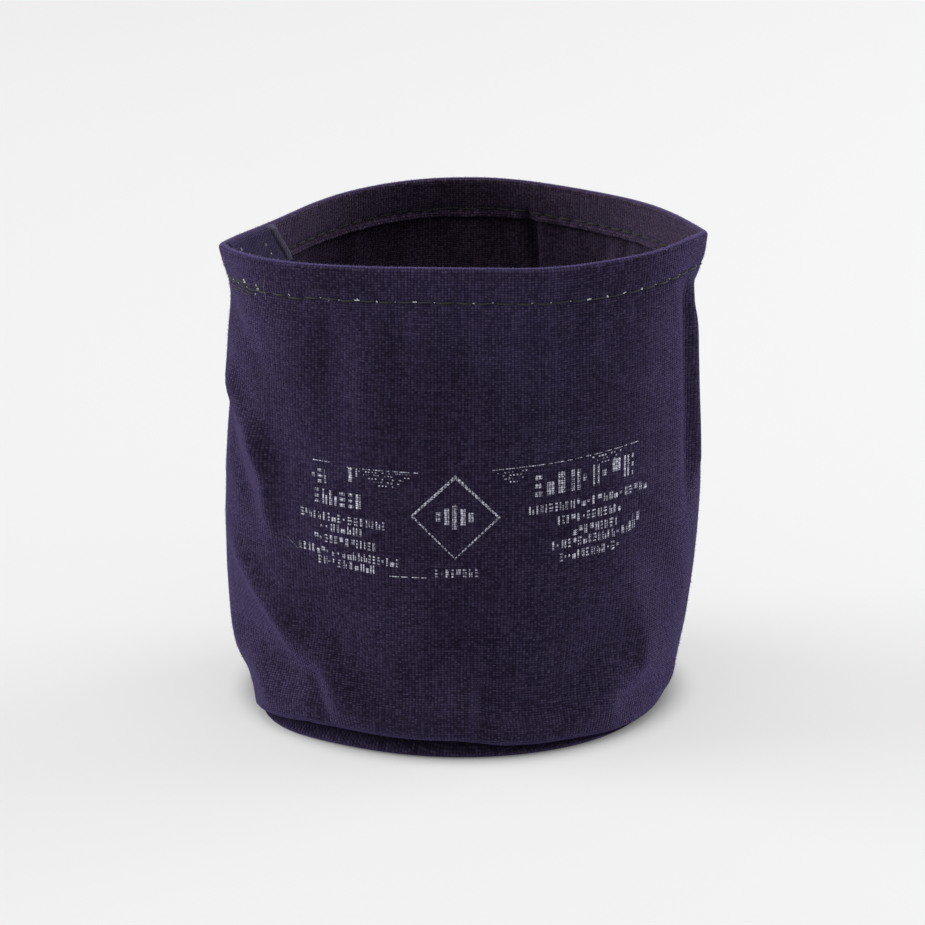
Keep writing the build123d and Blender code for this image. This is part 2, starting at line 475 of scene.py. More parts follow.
FLAT_RINGS = 14             # rings of faces across the flat of the base


def build_base():
    """The base cloth: flat on the floor, its edge rolled up to the seam and on inside."""
    roll = 2.4
    seam_n = -TURN_IN + 0.55
    path = arc((seam_n - 2.2, CLOTH / 2 + roll), roll, 270, 345, 6)
    path += [(seam_n + 0.1, BASE_SEAM_Z - 0.4), (seam_n - 0.7, BASE_SEAM_Z + 0.9)]
    path += straight(-TURN_IN - 1.5 * LAYER - 0.05,
                     np.arange(BASE_SEAM_Z + 2.2, ALLOWANCE_TOP - 0.4, 1.2))
    path = np.array(path)
    normals = path_normals(path)
    rim_line = place(COLUMN_U, path[0, 0], 0.5)[:, :2]
    radius = np.linalg.norm(rim_line, axis=1, keepdims=True)
    shares = np.arange(1, FLAT_RINGS) / FLAT_RINGS
    # where each ring lies on the flat cloth, for the weave
    flat = [rim_line * share for share in shares]
    flat += [rim_line * (1 + reach / radius) for reach in distances(path)]
    flat = np.concatenate(flat + flat[::-1] + [np.zeros((2, 2))])
    sides = []
    for side in (1, -1):
        level = np.full(COLUMNS, (1 - side) * CLOTH / 2)
        rings = [np.column_stack([rim_line * share, level]) for share in shares]
        for n, z in path + side * normals * CLOTH / 2:
            rings.append(place(COLUMN_U, n, max(z, 0.0)))
        sides.append(rings)
    rings = sides[0] + sides[1][::-1]
    faces = ring_faces(len(rings), COLUMNS)
    low = len(rings) * COLUMNS
    last = low - COLUMNS
    for c in range(COLUMNS):
        d = (c + 1) % COLUMNS
        faces += [(low, d, c), (low + 1, last + c, last + d)]
    points = np.concatenate(rings + [[(0, 0, 0), (0, 0, CLOTH)]])
    piece = make_mesh("base_canvas", points, faces, [flat[i] for face in faces for i in face])
    # painted shade: the base's band darkens upwards into the slot under the wall's overhang
    shade = smoothstep(BASE_SEAM_Z - 3.0, BASE_SEAM_Z - 0.6, path[:, 1])
    shade = np.concatenate([0 * shares, shade])
    shade = np.repeat(np.concatenate([shade, shade[::-1]]), COLUMNS)
    painted_seam_shade = piece.data.attributes.new("painted_seam_shade", "FLOAT", "POINT")
    painted_seam_shade.data.foreach_set("value", np.append(shade, [0.0, 0.0]).astype(np.float32))
    return piece


# ---- thread --------

PLIES = 3
TWISTS = 2.2                # turns of the plies along a stitch
STITCH_UV = 7               # how far apart the stitches lie on the thread's map


def thread_run(starts, ends, radius, face, sink, side, sides=9, rings=13):
    """Stitches lying on one face: closed tubes of twisted thread from hole to hole.

    starts and ends are (u, z) per stitch; face is the face's n, or a function of (u, z) that
    gives it; sink is how far the ends go into the cloth; side is +1 for an outer face and -1
    for an inner one.
    """
    starts = np.asarray(starts, float)
    span = np.asarray(ends, float) - starts
    t = (1 - np.cos(np.linspace(0, math.pi, rings))) / 2
    turn = np.arange(sides) / sides * 2 * math.pi
    length = np.linalg.norm(span, axis=1, keepdims=True)
    across = np.stack([-span[:, 1], span[:, 0]], 1) / length
    centre = (starts[:, None] + span[:, None] * t[None, :, None])[:, :, None]
    dip = sink * (1 - np.sin(math.pi * t) ** 0.35)
    taper = 0.55 + 0.45 * np.clip(np.sin(math.pi * t) * 4, 0, 1)
    lobes = 1 + 0.13 * np.cos(PLIES * (turn - 2 * math.pi * t[:, None] * TWISTS))
    r = radius * taper[:, None] * lobes
    out = side * (r * np.cos(turn) + (radius * 0.75 - dip)[:, None])
    over = r * np.sin(turn)
    u, z = (centre[..., i] + across[:, None, None, i] * over for i in (0, 1))
    n = face(centre[..., 0], centre[..., 1]) if callable(face) else face
    points = place(u, n + out, z)
    faces = []
    uv = []
    for k, run in enumerate(length[:, 0]):
        first = k * rings * sides
        for i in range(rings - 1):
            low, high = STITCH_UV * k + run * t[i:i + 2]
            for j in range(sides):
                a = first + i * sides + j
                b = first + i * sides + (j + 1) % sides
                quad = [(a, low, j), (b, low, j + 1), (b + sides, high, j + 1), (a + sides, high, j)]
                quad = quad if side < 0 else quad[:1] + quad[:0:-1]
                faces.append([corner[0] for corner in quad])
                uv += [(along, step / sides) for _, along, step in quad]
        final = first + (rings - 1) * sides
        faces.append(list(range(first, first + sides))[::side])
        faces.append(list(range(final, final + sides))[::-side])
        uv += [(STITCH_UV * k, 0)] * (2 * sides)
    return points.reshape(-1, 3), faces, uv


def outer_face(u, z):
    """The n of the wall's outer face at the hem."""
    return CLOTH / 2 - seam_groove(u, z) + 0.02


def inner_face(u, z):
    """The n of the hem's inner face."""
    return -2 * LAYER - CLOTH / 2 + seam_groove(u, z) - 0.02


def tack_face(u, z):
    """The n that the back tack lies at, on top of the hem's own row."""
    return CLOTH / 2 - 0.6 * seam_groove(u, z) - 0.05


def hem_stitches():
    """The hem's row: each stitch's ends on the wandering seam line, none quite level."""
    rng = np.random.default_rng(21)
    holes = np.arange(STITCHES) * PITCH
    line = seam_line(holes)
    tilt = rng.normal(0, 0.16, (STITCHES, 2))
    starts = np.stack([holes + 0.15, line + tilt[:, 0]], 1)
    ends = np.stack([holes + PITCH - 0.15, np.roll(line, -1) + tilt[:, 1]], 1)
    return starts, ends


def tack_stitches():
    """The back tack: four short rows one over another at the hem's start, from the left."""
    rng = np.random.default_rng(33)
    line = seam_line(12.0)
    starts = []
    ends = []
    for offset, u, end in ((1.3, 1.0, 21.0), (0.75, 2.8, 15.0), (-1.0, 5.0, 20.0), (-1.7, 8.0, 17.0)):
        while u < end:
            run = rng.uniform(3.4, 5.2)
            tilt = rng.uniform(-0.8, 0.8)
            starts.append((u, line + offset + tilt / 2))
            ends.append((u + run, line + offset - tilt / 2))
            u += run + rng.uniform(0.2, 0.9)
    return starts, ends


def row_of_stitches(holes, point, gap):
    """Starts and ends of a row with its holes at point(hole), each end drawn in by gap."""
    starts = [np.add(point(hole), gap) for hole in holes]
    ends = [np.subtract(point(hole + PITCH), gap) for hole in holes]
    return starts, ends


def build_threads():
    """The rows of stitches, each a piece: hem outside and inside, back tack, side and base."""
    hem = hem_stitches()
    side_row = row_of_stitches(np.arange(BASE_SEAM_Z + 5, HEM_LOW - 5, PITCH),
                               lambda z: (ROUND - 1.3 + 0.2 * math.sin(z), z), (0, 0.25))
    base_row = row_of_stitches(np.arange(STITCHES) * PITCH,
                               lambda u: (u, ALLOWANCE_TOP - 3.4 + 0.3 * math.sin(u)), (0.3, 0))
    inside = -2 * LAYER - CLOTH / 2     # the inner face of two allowances
    rows = (
        # name, starts and ends, radius, face, how far the ends sink, side
        ("hem_needle_thread_yarn", hem, 0.22, outer_face, 0.6, 1),
        ("hem_bobbin_thread_yarn", hem, 0.22, inner_face, 0.6, -1),
        ("hem_back_tack_yarn", tack_stitches(), 0.17, tack_face, 0.7, 1),
        ("side_seam_thread_yarn", side_row, 0.26, inside - 0.05, 0.5, -1),
        ("base_seam_thread_yarn", base_row, 0.26, inside - TURN_IN - 0.1, 0.5, -1),
    )
    return [joined(name, [thread_run(*ends, *lie)]) for name, ends, *lie in rows]


# ---- patches of cloth and ink that follow the wall --------

def slab(u_grid, z_grid, inner, outer):
    """A closed slab over a grid of (u, z), between two n offsets: points, faces and uv."""
    rows, columns = u_grid.shape
    count = rows * columns
    faces = []
    for r in range(rows - 1):
        for c in range(columns - 1):
            a = r * columns + c
            faces.append((count + a, count + a + 1, count + a + columns + 1, count + a + columns))
            faces.append((a + columns, a + columns + 1, a + 1, a))
    border = list(range(columns))
    border += [r * columns + columns - 1 for r in range(1, rows)]
    border += [(rows - 1) * columns + c for c in range(columns - 2, -1, -1)]
    border += [r * columns for r in range(rows - 2, 0, -1)]
    for i, j in zip(border, border[1:] + border[:1]):
        faces.append((i, j, count + j, count + i))
    flat = np.stack([u_grid, z_grid], -1).reshape(-1, 2)
    uv = [flat[i % count] for face in faces for i in face]
    points = [place(u_grid, n, z_grid).reshape(-1, 3) for n in (inner, outer)]
    return np.concatenate(points), faces, uv


def build_side_allowance():
    """The side seam's two raw edges, pressed to the back, from the base to the hem."""
    slabs = []
    for layer, width in ((0, 10.2), (1, 8.9)):
        zz, ss = np.meshgrid(np.linspace(BASE_SEAM_Z + 3.0, HEM_LOW + 1.0, 84),
                             np.linspace(1, 0, 12), indexing="ij")
        edge = width + 0.35 * soft_noise(0.0, zz, 41 + layer, 20, 9)
        lean = 0.35 * smoothstep(0.5, 1, ss) * (1 + 0.8 * soft_noise(0.0, zz, 45, 20, 26))
        n = -LAYER * (1 + layer) - lean - CLOTH / 2
        slabs.append(slab(ROUND + 0.4 - ss * edge, zz, n, n + CLOTH * 0.98))
    return joined("side_allowance_canvas", slabs)


def lap_grid(below, above, rows, columns):
    """A grid up the inside of the hem: height, share across, hem's face, and how near the rim."""
    z = np.concatenate([np.linspace(HEM_LOW - below, HEIGHT - 2.2, rows),
                        np.linspace(HEIGHT - 1.9, HEIGHT - above, 8)])
    zz, ss = np.meshgrid(z, np.linspace(1, 0, columns), indexing="ij")
    radius = LAYER + CLOTH / 2
    drop = np.maximum(zz - RIM_FOLD_Z, 0)
    face = -LAYER - np.sqrt(np.clip(radius ** 2 - drop ** 2, 0, None))
    return zz, ss, face, smoothstep(HEIGHT - 1.6, HEIGHT - 0.3, zz)


def lap_reach(z):
    """How far the hem's lapped end reaches along the back from the left crease."""
    return 35.5 - 8.0 * (z - HEM_LOW) / (HEIGHT - HEM_LOW)


def build_lap():
    """The hem's lapped end inside the left corner."""
    zz, ss, face, at_rim = lap_grid(0.5, 0.28, 16, 40)
    uu = ROUND - 2.4 - ss * (lap_reach(zz) - 2.4)
    thick = 0.8 * CLOTH * (1 - 0.6 * at_rim)
    return joined("hem_lap_canvas", [slab(uu, zz, face - thick, face + 0.15)])


def build_lap_fold():
    """The lap's pressed edge: a narrow doubled strip, rubbed pale, leaning down the hem."""
    zz, ss, face, at_rim = lap_grid(0.8, 0.24, 22, 11)
    uu = ROUND - lap_reach(zz) + 0.25 * soft_noise(0.0, zz, 49, 20, 5) + (0.5 - ss) * 4.6
    crown = np.clip(1 - np.abs(2 * ss - 1) ** 3, 0, 1)
    thick = (0.25 + 0.95 * crown) * (1 - 0.55 * at_rim)
    return joined("hem_lap_fold", [slab(uu, zz, face - thick, face + 0.1)])


# ---- the worn stamp --------

INK = 0.045                 # height of the ink above the cloth
INK_CELL = 0.8              # about the size of a patch's faces


def ink_patch(corners, across=None, up=None):
    """A four-cornered patch of ink; corners as (u, z), anticlockwise from the low left."""
    p = np.array(corners, float)
    width = max(np.linalg.norm(p[1] - p[0]), np.linalg.norm(p[2] - p[3]))
    tall = max(np.linalg.norm(p[3] - p[0]), np.linalg.norm(p[2] - p[1]))
    a = np.linspace(0, 1, across or max(2, int(width / INK_CELL) + 2))
    b = np.linspace(0, 1, up or max(2, int(tall / INK_CELL) + 2))
    bb, aa = np.meshgrid(b, a, indexing="ij")
    shares = ((1 - aa) * (1 - bb), aa * (1 - bb), aa * bb, (1 - aa) * bb)
    uu, zz = sum(corner[:, None, None] * share for corner, share in zip(p, shares))
    return slab(uu, zz, CLOTH / 2 + 0.004, CLOTH / 2 + INK)


def bar(u, z, width, tall, tilt=0.0):
    """An upright bar of ink with its low left corner at (u, z) on a line of slope tilt."""
    far = z + tilt * width
    return ink_patch([(u, z), (u + width, far), (u + width, far + tall), (u, z + tall)])


def row_of_marks(rng, u, z, length, tall, tilt, wide, gap):
    """A row of small marks that spell nothing: bars, split bars, stacked blocks and dots."""
    marks = []
    at = 0.0
    while at < length - 0.4:
        w = min(rng.uniform(*wide), length - at)
        foot = z + tilt * at
        kind = rng.choice(["bar", "split", "split", "stack", "stack", "short", "dot"])
        if kind == "bar":
            marks.append(bar(u + at, foot, 0.7 * w, tall, tilt))
        elif kind == "split":
            marks.append(bar(u + at, foot, 0.34 * w, tall, tilt))
            marks.append(bar(u + at + 0.66 * w, foot, 0.34 * w, tall * rng.choice([1, 0.6]), tilt))
        elif kind == "stack":
            for level in (0.0, 0.39, 0.78):
                marks.append(bar(u + at, foot + level * tall, w * rng.uniform(0.7, 1.0),
                                 0.22 * tall, tilt))
        elif kind == "short":
            marks.append(bar(u + at, foot + rng.choice([0, 0.4]) * tall, w, 0.6 * tall, tilt))
        else:
            marks.append(bar(u + at, foot + 0.35 * tall, 0.6 * w, 0.3 * tall, tilt))
        at += w + rng.uniform(*gap)
    return marks


def diamond_ring(u, z, reach, width):
    """An outlined square stood on its corner, its line worn thinner towards the foot."""
    marks = []
    middle = np.array([u, z])
    corners = np.array([(0.0, -1.0), (1.0, 0.0), (0.0, 1.0), (-1.0, 0.0)])
    for a, b in zip(corners, np.roll(corners, -1, axis=0)):
        # a hair's gap at each corner keeps the four strokes apart
        a, b = a + 0.004 * (b - a), b - 0.004 * (b - a)
        inner_a, inner_b = (reach - width * (0.75 + 0.35 * end[1]) for end in (a, b))
        marks.append(ink_patch([middle + a * reach, middle + b * reach,
                                middle + b * inner_b, middle + a * inner_a], across=22, up=3))
    return marks


def halftone(rng, u, z, width, tall, tilt):
    """A three-sided field of dots, densest along its top edge."""
    marks = []
    step = 0.95
    for i in range(int(width / step)):
        for j in range(int(tall / step)):
            x = i * step + (0.5 * step if j % 2 else 0)
            depth = tall * (1 - abs(2 * x / width - 1))
            if j * step > depth or rng.random() < 0.25:
                continue
            size = rng.uniform(0.32, 0.6)
            marks.append(bar(u + x, z - j * step + tilt * x, size, size * 0.8, tilt))
    return marks


def broken_line(rng, u, z, length, tilt):
    """A thin line worn into dashes."""
    marks = []
    at = 0.0
    while at < length:
        w = rng.uniform(0.8, 3.4)
        marks.append(bar(u + at, z + tilt * at, w, 0.24, tilt))
        at += w + rng.uniform(0.2, 1.2)
    return marks


def column_of_rows(rng, u, z, drop, spans, *row):
    """Rows of marks one below another; spans are each row's start and length."""
    return [mark for k, (start, length) in enumerate(spans)
            for mark in row_of_marks(rng, u + start, z - drop * k, length, *row)]


def build_stamp():
    """A worn rubber-stamp mark of plain shapes: a diamond, blocks, bars and dot fields."""
    rng = np.random.default_rng(7)
    middle = FRONT / 2
    emblem = (middle - 1.9, 70.2)
    bold = diamond_ring(*emblem, 12.2, 1.15)
    fine = []
    for k, tall in enumerate((2.6, 4.8, 7.0, 4.8, 2.6)):
        bold.append(bar(emblem[0] - 5.2 + 2.2 * k, emblem[1] - tall / 2, 1.35, tall))
    fine += row_of_marks(rng, middle - 7.4, 52.6, 12.5, 2.4, 0.03, (0.5, 1.2), (0.4, 0.8))
    left = middle - 44.5
    for z, start, length in ((77.8, 2.2, 4.2), (79.0, 13.0, 2.6)):
        bold += row_of_marks(rng, left + start, z, length, 4.2, -0.04, (1.2, 2.0), (0.35, 0.7))
    bold += row_of_marks(rng, left + 3.0, 71.8, 15.0, 4.3, -0.06, (1.3, 2.3), (0.5, 0.9))
    spans = ((-1.6, 25.5), (4.6, 12.5), (2.6, 18.0), (-2.4, 29.5), (3.6, 17.0))
    fine += column_of_rows(rng, left, 67.4, 3.35, spans, 2.3, -0.075, (0.55, 1.25), (0.35, 0.75))
    right = middle + 18.6
    bold += row_of_marks(rng, right + 1.0, 75.6, 29.5, 6.2, 0.085, (1.7, 2.7), (0.8, 1.2))
    spans = ((-0.6, 36.0), (7.4, 19.5), (11.8, 13.5), (5.8, 24.0), (8.0, 19.0))
    fine += column_of_rows(rng, right, 70.6, 3.5, spans, 2.4, 0.07, (0.6, 1.35), (0.35, 0.7))
    bold += row_of_marks(rng, right + 29.0, 61.8, 4.0, 4.4, 0.2, (0.9, 1.5), (0.3, 0.5))
    for start, length, z, tilt in ((-42, 4.5, 84.2, -0.05), (-32, 20, 83.0, -0.02),
                                   (8, 40, 83.6, 0.085), (-20, 9, 52.4, 0.0)):
        fine += broken_line(rng, middle + start, z, length, tilt)
    for start, z, width, tall, tilt in ((-29.5, 82.2, 17.0, 5.2, -0.02), (8.5, 82.6, 10.0, 4.0, 0.085),
                                        (36.0, 85.0, 9.5, 3.2, 0.085)):
        fine += halftone(rng, middle + start, z, width, tall, tilt)
    return joined("stamp_bold", bold), joined("stamp_fine", fine)


# ---- lint, broken fibre and fuzz --------

# Tufts at the hem's left end: (u, height over the seam, size).
TUFTS = [(8.0, 0.6, 0.6), (16.0, 1.9, 1.2), (21.2, 1.6, 0.7), (21.7, 0.6, 0.9), (1.9, 3.4, 0.8),
         (3.4, 0.9, 0.7), (33.0, 0.6, 0.6), (45.0, 0.2, 0.5), (20.6, -1.0, 0.6)]

# Loose hairs lying on the outer face, as (u, z) along each.
HAIRS = [
    [(4.6, 137.2), (3.5, 134.0), (3.3, 131.2), (4.9, 128.6)],
    [(25.0, 135.0), (24.4, 131.5), (25.2, 129.0)],
    [(31.0, 60.0), (34.5, 57.2), (36.0, 57.6)],
    [(ROUND - 1.0, 75.0), (ROUND - 0.4, 72.0), (ROUND + 0.4, 69.0)],
    [(FRONT - 0.6, 52.0), (FRONT + 0.3, 49.0), (FRONT - 0.2, 47.0)],
]

# Lint on the hem inside the left corner, as (u, z).
LINT = [(ROUND - 6.5, 137.0), (ROUND - 21.8, 135.2), (ROUND - 23.6, 132.0), (ROUND - 3.0, 134.5)]


def build_flecks():
    """Tufts of undyed fibre poking out of needle holes, and a few loose hairs."""
    rng = np.random.default_rng(55)
    starts, _ = hem_stitches()
    frayed = [hole for hole in range(STITCHES) if rng.random() < 0.62]
    parts = []
    for u, z in starts[frayed]:
        big = 1.0 if rng.random() < 0.3 else 0.55
        for _ in range(rng.integers(2, 5)):
            turn = rng.uniform(0, 2 * math.pi)
            reach = rng.uniform(0.35, 0.85) * big
            tip = (u - 0.3 + reach * math.cos(turn), z + 0.1 + 0.7 * reach * abs(math.sin(turn)))
            parts.append(thread_run([(u - 0.3, z + 0.05)], [tip], 0.15 * big + 0.03, outer_face,
                                    -0.12, 1, sides=6, rings=5))

    def burst(u, z, reach, count, *run):
        """Fibres from one spot in chance directions; run is the rest of what thread_run takes."""
        for _ in range(count):
            turn = rng.uniform(0, 2 * math.pi)
            tip = (u + reach * math.cos(turn), z + reach * math.sin(turn))
            parts.append(thread_run([(u, z)], [tip], *run, sides=6, rings=5))

    line = seam_line(8.0)
    for u, z, size in TUFTS:
        burst(u, line + z, 0.55 * size, 4, 0.15 * size, outer_face, -0.12, 1)
    for path in HAIRS:
        for a, b in zip(path, path[1:]):
            parts.append(thread_run([a], [b], 0.032, CLOTH / 2 + 0.12, 0.0, 1, sides=5, rings=5))
    for u, z in LINT:
        burst(u, z, 0.5, 3, 0.13, -3.9 * LAYER, -0.1, -1)
    return joined("loose_fibre", parts)


def build_fuzz():
    """Short fibres standing out of the rim's fold and the two creases, as fine spikes."""
    rng = np.random.default_rng(77)
    points = []
    faces = []
    uv = []

    def spike(u, n, z, dn, dz, length, radius):
        """A three-sided spike at (u, n, z) along (dn, dz), leaning a little round the bin."""
        k = len(points)
        lean = rng.uniform(-0.5, 0.5) * length
        points.extend([(u - radius, n, z), (u + radius, n, z),
                       (u, n - radius * dz, z + radius * dn),
                       (u + lean, n + dn * length, z + dz * length)])
        faces.extend([(k, k + 1, k + 3), (k + 1, k + 2, k + 3), (k + 2, k, k + 3), (k, k + 2, k + 1)])
        uv.extend([(u, z)] * 12)

    r = LAYER + CLOTH / 2 - 0.03
    for _ in range(2600):
        u = rng.uniform(0, ROUND)
        turn = math.radians(rng.uniform(10, 170))
        dn = math.cos(turn)
        dz = math.sin(turn)
        spike(u, -LAYER + r * dn, RIM_FOLD_Z + r * dz, dn, dz,
              rng.uniform(0.12, 0.45) * rng.choice([1, 1, 1, 1.8]), 0.045)
    for crease in (0.0, FRONT):
        for _ in range(900):
            z = rng.uniform(8, HEM_LOW + 8)
            spike(crease + rng.normal(0, 2.2), CLOTH / 2 - 0.02, z, 1.0, rng.uniform(-0.6, 0.6),
                  rng.uniform(0.15, 0.65), 0.055)
    return make_mesh("edge_fuzz", place(*np.array(points).T), faces, uv, smooth=False)


# ---- letting the cloth settle --------

SIM_SCALE = 10.0            # the cloth settles as a model ten times the size
SIM_COLUMNS = 126
SIM_STEP = 3.0
SIM_FRAMES = 24
SIM_CAP = 2.6               # furthest a point may move, mm
SIM_SETTINGS = {
    "quality": 6, "mass": 0.25, "tension_stiffness": 40, "compression_stiffness": 40,
    "shear_stiffness": 20, "bending_stiffness": 6, "shrink_min": -0.012, "shrink_max": -0.012,
    "vertex_group_mass": "held", "pin_stiffness": 1.0,
}


def settle():
    """Let the wall between base seam and hem slacken, buckle and slump under its weight."""
    rows = int(round((HEIGHT - BASE_SEAM_Z) / SIM_STEP)) + 1
    z = BASE_SEAM_Z + np.arange(rows) * SIM_STEP
    u = np.arange(SIM_COLUMNS) * ROUND / SIM_COLUMNS
    zz, uu = np.meshgrid(z, u, indexing="ij")
    start = place(uu, 0.0, zz)
    faces = ring_faces(rows, SIM_COLUMNS)
    piece = make_mesh("settling_cloth", start.reshape(-1, 3) * SIM_SCALE, faces)
    group = piece.vertex_groups.new(name="held")
    for r in range(rows):
        held = 1.0 if r == 0 or z[r] > HEM_LOW else 0.0
        if 0 < HEM_LOW - z[r] < 2 * SIM_STEP:
            held = 0.35
        for c in range(SIM_COLUMNS):
            stiff = 0.10 * max(near(u[c], 0.0, 5), near(u[c], FRONT, 5))
            group.add([r * SIM_COLUMNS + c], max(held, stiff), "REPLACE")
    cloth = piece.modifiers.new("cloth", "CLOTH")
    for key, value in SIM_SETTINGS.items():
        setattr(cloth.settings, key, value)
    cloth.collision_settings.use_collision = False
    cloth.point_cache.frame_start = 1
    cloth.point_cache.frame_end = SIM_FRAMES
    for number in range(1, SIM_FRAMES + 1):
        bpy.context.scene.frame_set(number)
    settled = piece.evaluated_get(bpy.context.evaluated_depsgraph_get())
    result = settled.to_mesh()
    moved = np.empty(len(result.vertices) * 3)
    result.vertices.foreach_get("co", moved)
    settled.to_mesh_clear()
    bpy.context.scene.frame_set(1)
    bpy.data.objects.remove(piece)
    move = moved.reshape(rows, SIM_COLUMNS, 3) / MM / SIM_SCALE - start
    size = np.linalg.norm(move, axis=-1, keepdims=True)
    move *= np.where(size > SIM_CAP, SIM_CAP / np.maximum(size, 1e-9), 1.0)
    fade = smoothstep(BASE_SEAM_Z + 1, BASE_SEAM_Z + 9, z)
    fade = fade * smoothstep(HEM_LOW + 3, HEM_LOW - 4, z)
    return Field(move * fade[:, None, None], BASE_SEAM_Z, SIM_STEP)


settled_grid = settle()

wall = build_wall()
base = build_base()
needle, bobbin, tack, side_thread, base_thread = build_threads()
side_allowance = build_side_allowance()
lap = build_lap()
lap_fold = build_lap_fold()
stamp_bold, stamp_fine = build_stamp()
fibre = build_flecks()
fuzz = build_fuzz()

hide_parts("wall_panel", "top_hem")
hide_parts("base_panel", "base_seam_allowance")
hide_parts("side_seam_allowance")
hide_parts("hem_needle_thread")
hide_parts("hem_bobbin_thread")
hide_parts("hem_back_tack")
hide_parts("side_seam_thread")
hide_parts("base_seam_thread")

# ---- materials --------

RIB_PITCH = 0.000907        # one warp rib to the next, metres
PICK_PITCH = 0.000635       # one weft pick to the next
YARN_DRIFT = 1.2            # how far the yarns wander out of line, in pitches
WEAVE_DEPTH = 0.00034       # metres


class Socket:
    """A node's output that sums can be written with."""

    def __init__(self, graph, socket):
        self.graph = graph
        self.socket = socket

    def __add__(self, other):
        return self.graph.math("ADD", self, other)

    def __sub__(self, other):
        return self.graph.math("SUBTRACT", self, other)

    def __mul__(self, other):
        return self.graph.math("MULTIPLY", self, other)

    def __truediv__(self, other):
        return self.graph.math("DIVIDE", self, other)

    def __abs__(self):
        return self.graph.math("ABSOLUTE", self)


class Graph:
    """A small helper for building a material's nodes."""

    def __init__(self, name):
        self.material = bpy.data.materials.new(name)
        self.material.use_nodes = True
        self.tree = self.material.node_tree
        self.shader = self.tree.nodes["Principled BSDF"]

    def feed(self, made, values):
        """Link or set a node's inputs, given by name or number."""
        for key, value in values.items():
            if isinstance(value, Socket):
                self.tree.links.new(value.socket, made.inputs[key])
            else:
                made.inputs[key].default_value = value

    def node(self, kind, values, output=0, **settings):
        """One output of a new node."""
        made = self.tree.nodes.new(kind)
        for key, value in settings.items():
            setattr(made, key, value)
        self.feed(made, values)
        return Socket(self, made.outputs[output])

    def finish(self, values):
        """The material, with these values or sockets on its shader."""
        self.feed(self.shader, values)
        return self.material

    def math(self, operation, *values, clamp=False):
        return self.node("ShaderNodeMath", dict(enumerate(values)), operation=operation,
                         use_clamp=clamp)

    def noise(self, vector, scale, detail=2.0, roughness=0.5):
        return self.node("ShaderNodeTexNoise", {"Vector": vector, "Scale": scale,
                                                "Detail": detail, "Roughness": roughness}, "Fac")

    def white(self, dimensions, values):
        return self.node("ShaderNodeTexWhiteNoise", values, noise_dimensions=dimensions)

    def join(self, x, y, z=0.0):
        return self.node("ShaderNodeCombineXYZ", {0: x, 1: y, 2: z})

    def split(self, vector):
        first = self.node("ShaderNodeSeparateXYZ", {0: vector})
        return [Socket(self, output) for output in first.socket.node.outputs]

    def cloth_map(self):
        """The cloth's own map, in metres: u along it and v across it."""
        return self.split(self.node("ShaderNodeUVMap", {}, uv_map="cloth"))[:2]

    def remap(self, value, low, high, to_low=0.0, to_high=1.0, easing="LINEAR"):
        return self.node("ShaderNodeMapRange", {
            "Value": value, "From Min": low, "From Max": high, "To Min": to_low,
            "To Max": to_high}, interpolation_type=easing)

    def blend(self, fac, a, b):
        a, b = ((*colour, 1) if isinstance(colour, tuple) else colour for colour in (a, b))
        return self.node("ShaderNodeMix", {0: fac, 6: a, 7: b}, 2, data_type="RGBA")

    def bump(self, height, distance):
        return self.node("ShaderNodeBump", {"Strength": 1.0, "Distance": distance, "Height": height})


# the darkest navy is painted shade in the valleys between the yarns
NAVY_VALLEY_SHADE = (0.0060, 0.0038, 0.0090)
NAVY = (0.0202, 0.0139, 0.0343)
# painted shade for the base's band in the slot under the wall
NAVY_SHADED = (0.0030, 0.0020, 0.0040)
NAVY_CROWN = (0.090, 0.071, 0.141)
# the worn colour, also used for the painted highlight along the rims
NAVY_WORN_AND_HIGHLIGHT = (0.078, 0.060, 0.158)
NO_TINT = (1.0, 1.0, 1.0)
INSIDE_PAINTED_LIGHT_TINT = (1.50, 1.36, 1.06)     # painted light: the same dye made lighter and browner on the inner face, standing in for the dim light inside
SHEEN = (0.44, 0.34, 0.86)
INSIDE_SHEEN = (0.50, 0.40, 0.76)


def weave(g):
    """Plain weave on the cloth's map: its height, a shade per yarn and a speck per crossing."""
    u, v = g.cloth_map()
    flat = g.join(u, v)

    def yarns(across, pitch, drift):
        """One set of yarns: place counted in yarns, sine and crown over each, and number."""
        at = across / pitch + (drift - 0.5) * YARN_DRIFT
        wave = g.math("SINE", at * math.pi)
        return at, wave, g.math("POWER", abs(wave), 0.5), g.math("FLOOR", at)

    a, wave_a, crown_a, warp_id = yarns(u, RIB_PITCH, g.noise(flat, 70.0, 2.5, 0.6))
    b, wave_b, crown_b, weft_id = yarns(v, PICK_PITCH, g.noise(g.join(v, u, 3.0), 80.0, 2.5, 0.6))
    # +1 where the warp passes over the weft, -1 where it passes under
    parity = g.math("SIGN", wave_a * wave_b)
    slub_a = g.noise(g.join(warp_id * 7.3, v * 70.0), 1.0)
    slub_b = g.noise(g.join(u * 60.0, weft_id * 5.1), 1.0)
    warp = crown_a * (parity * crown_b * 0.46 + 0.54) * (slub_a * 0.8 + 0.61)
    weft = crown_b * (parity * crown_a * -0.44 + 0.48) * (slub_b * 0.8 + 0.61)
    shade = g.white("1D", {"W": warp_id}) * 0.6 + g.white("1D", {"W": weft_id}) * 0.4
    cluster = g.noise(g.join(a * 1.2, b * 0.8), 1.0, 2.5)
    speck = g.white("2D", {"Vector": g.join(warp_id, weft_id)}) * 0.31 + cluster * 0.54
    height = g.math("MAXIMUM", warp, weft)
    return SimpleNamespace(u=u, v=v, flat=flat, height=height, crown=g.remap(height, 0.25, 0.95),
                           shade=shade, speck=speck)


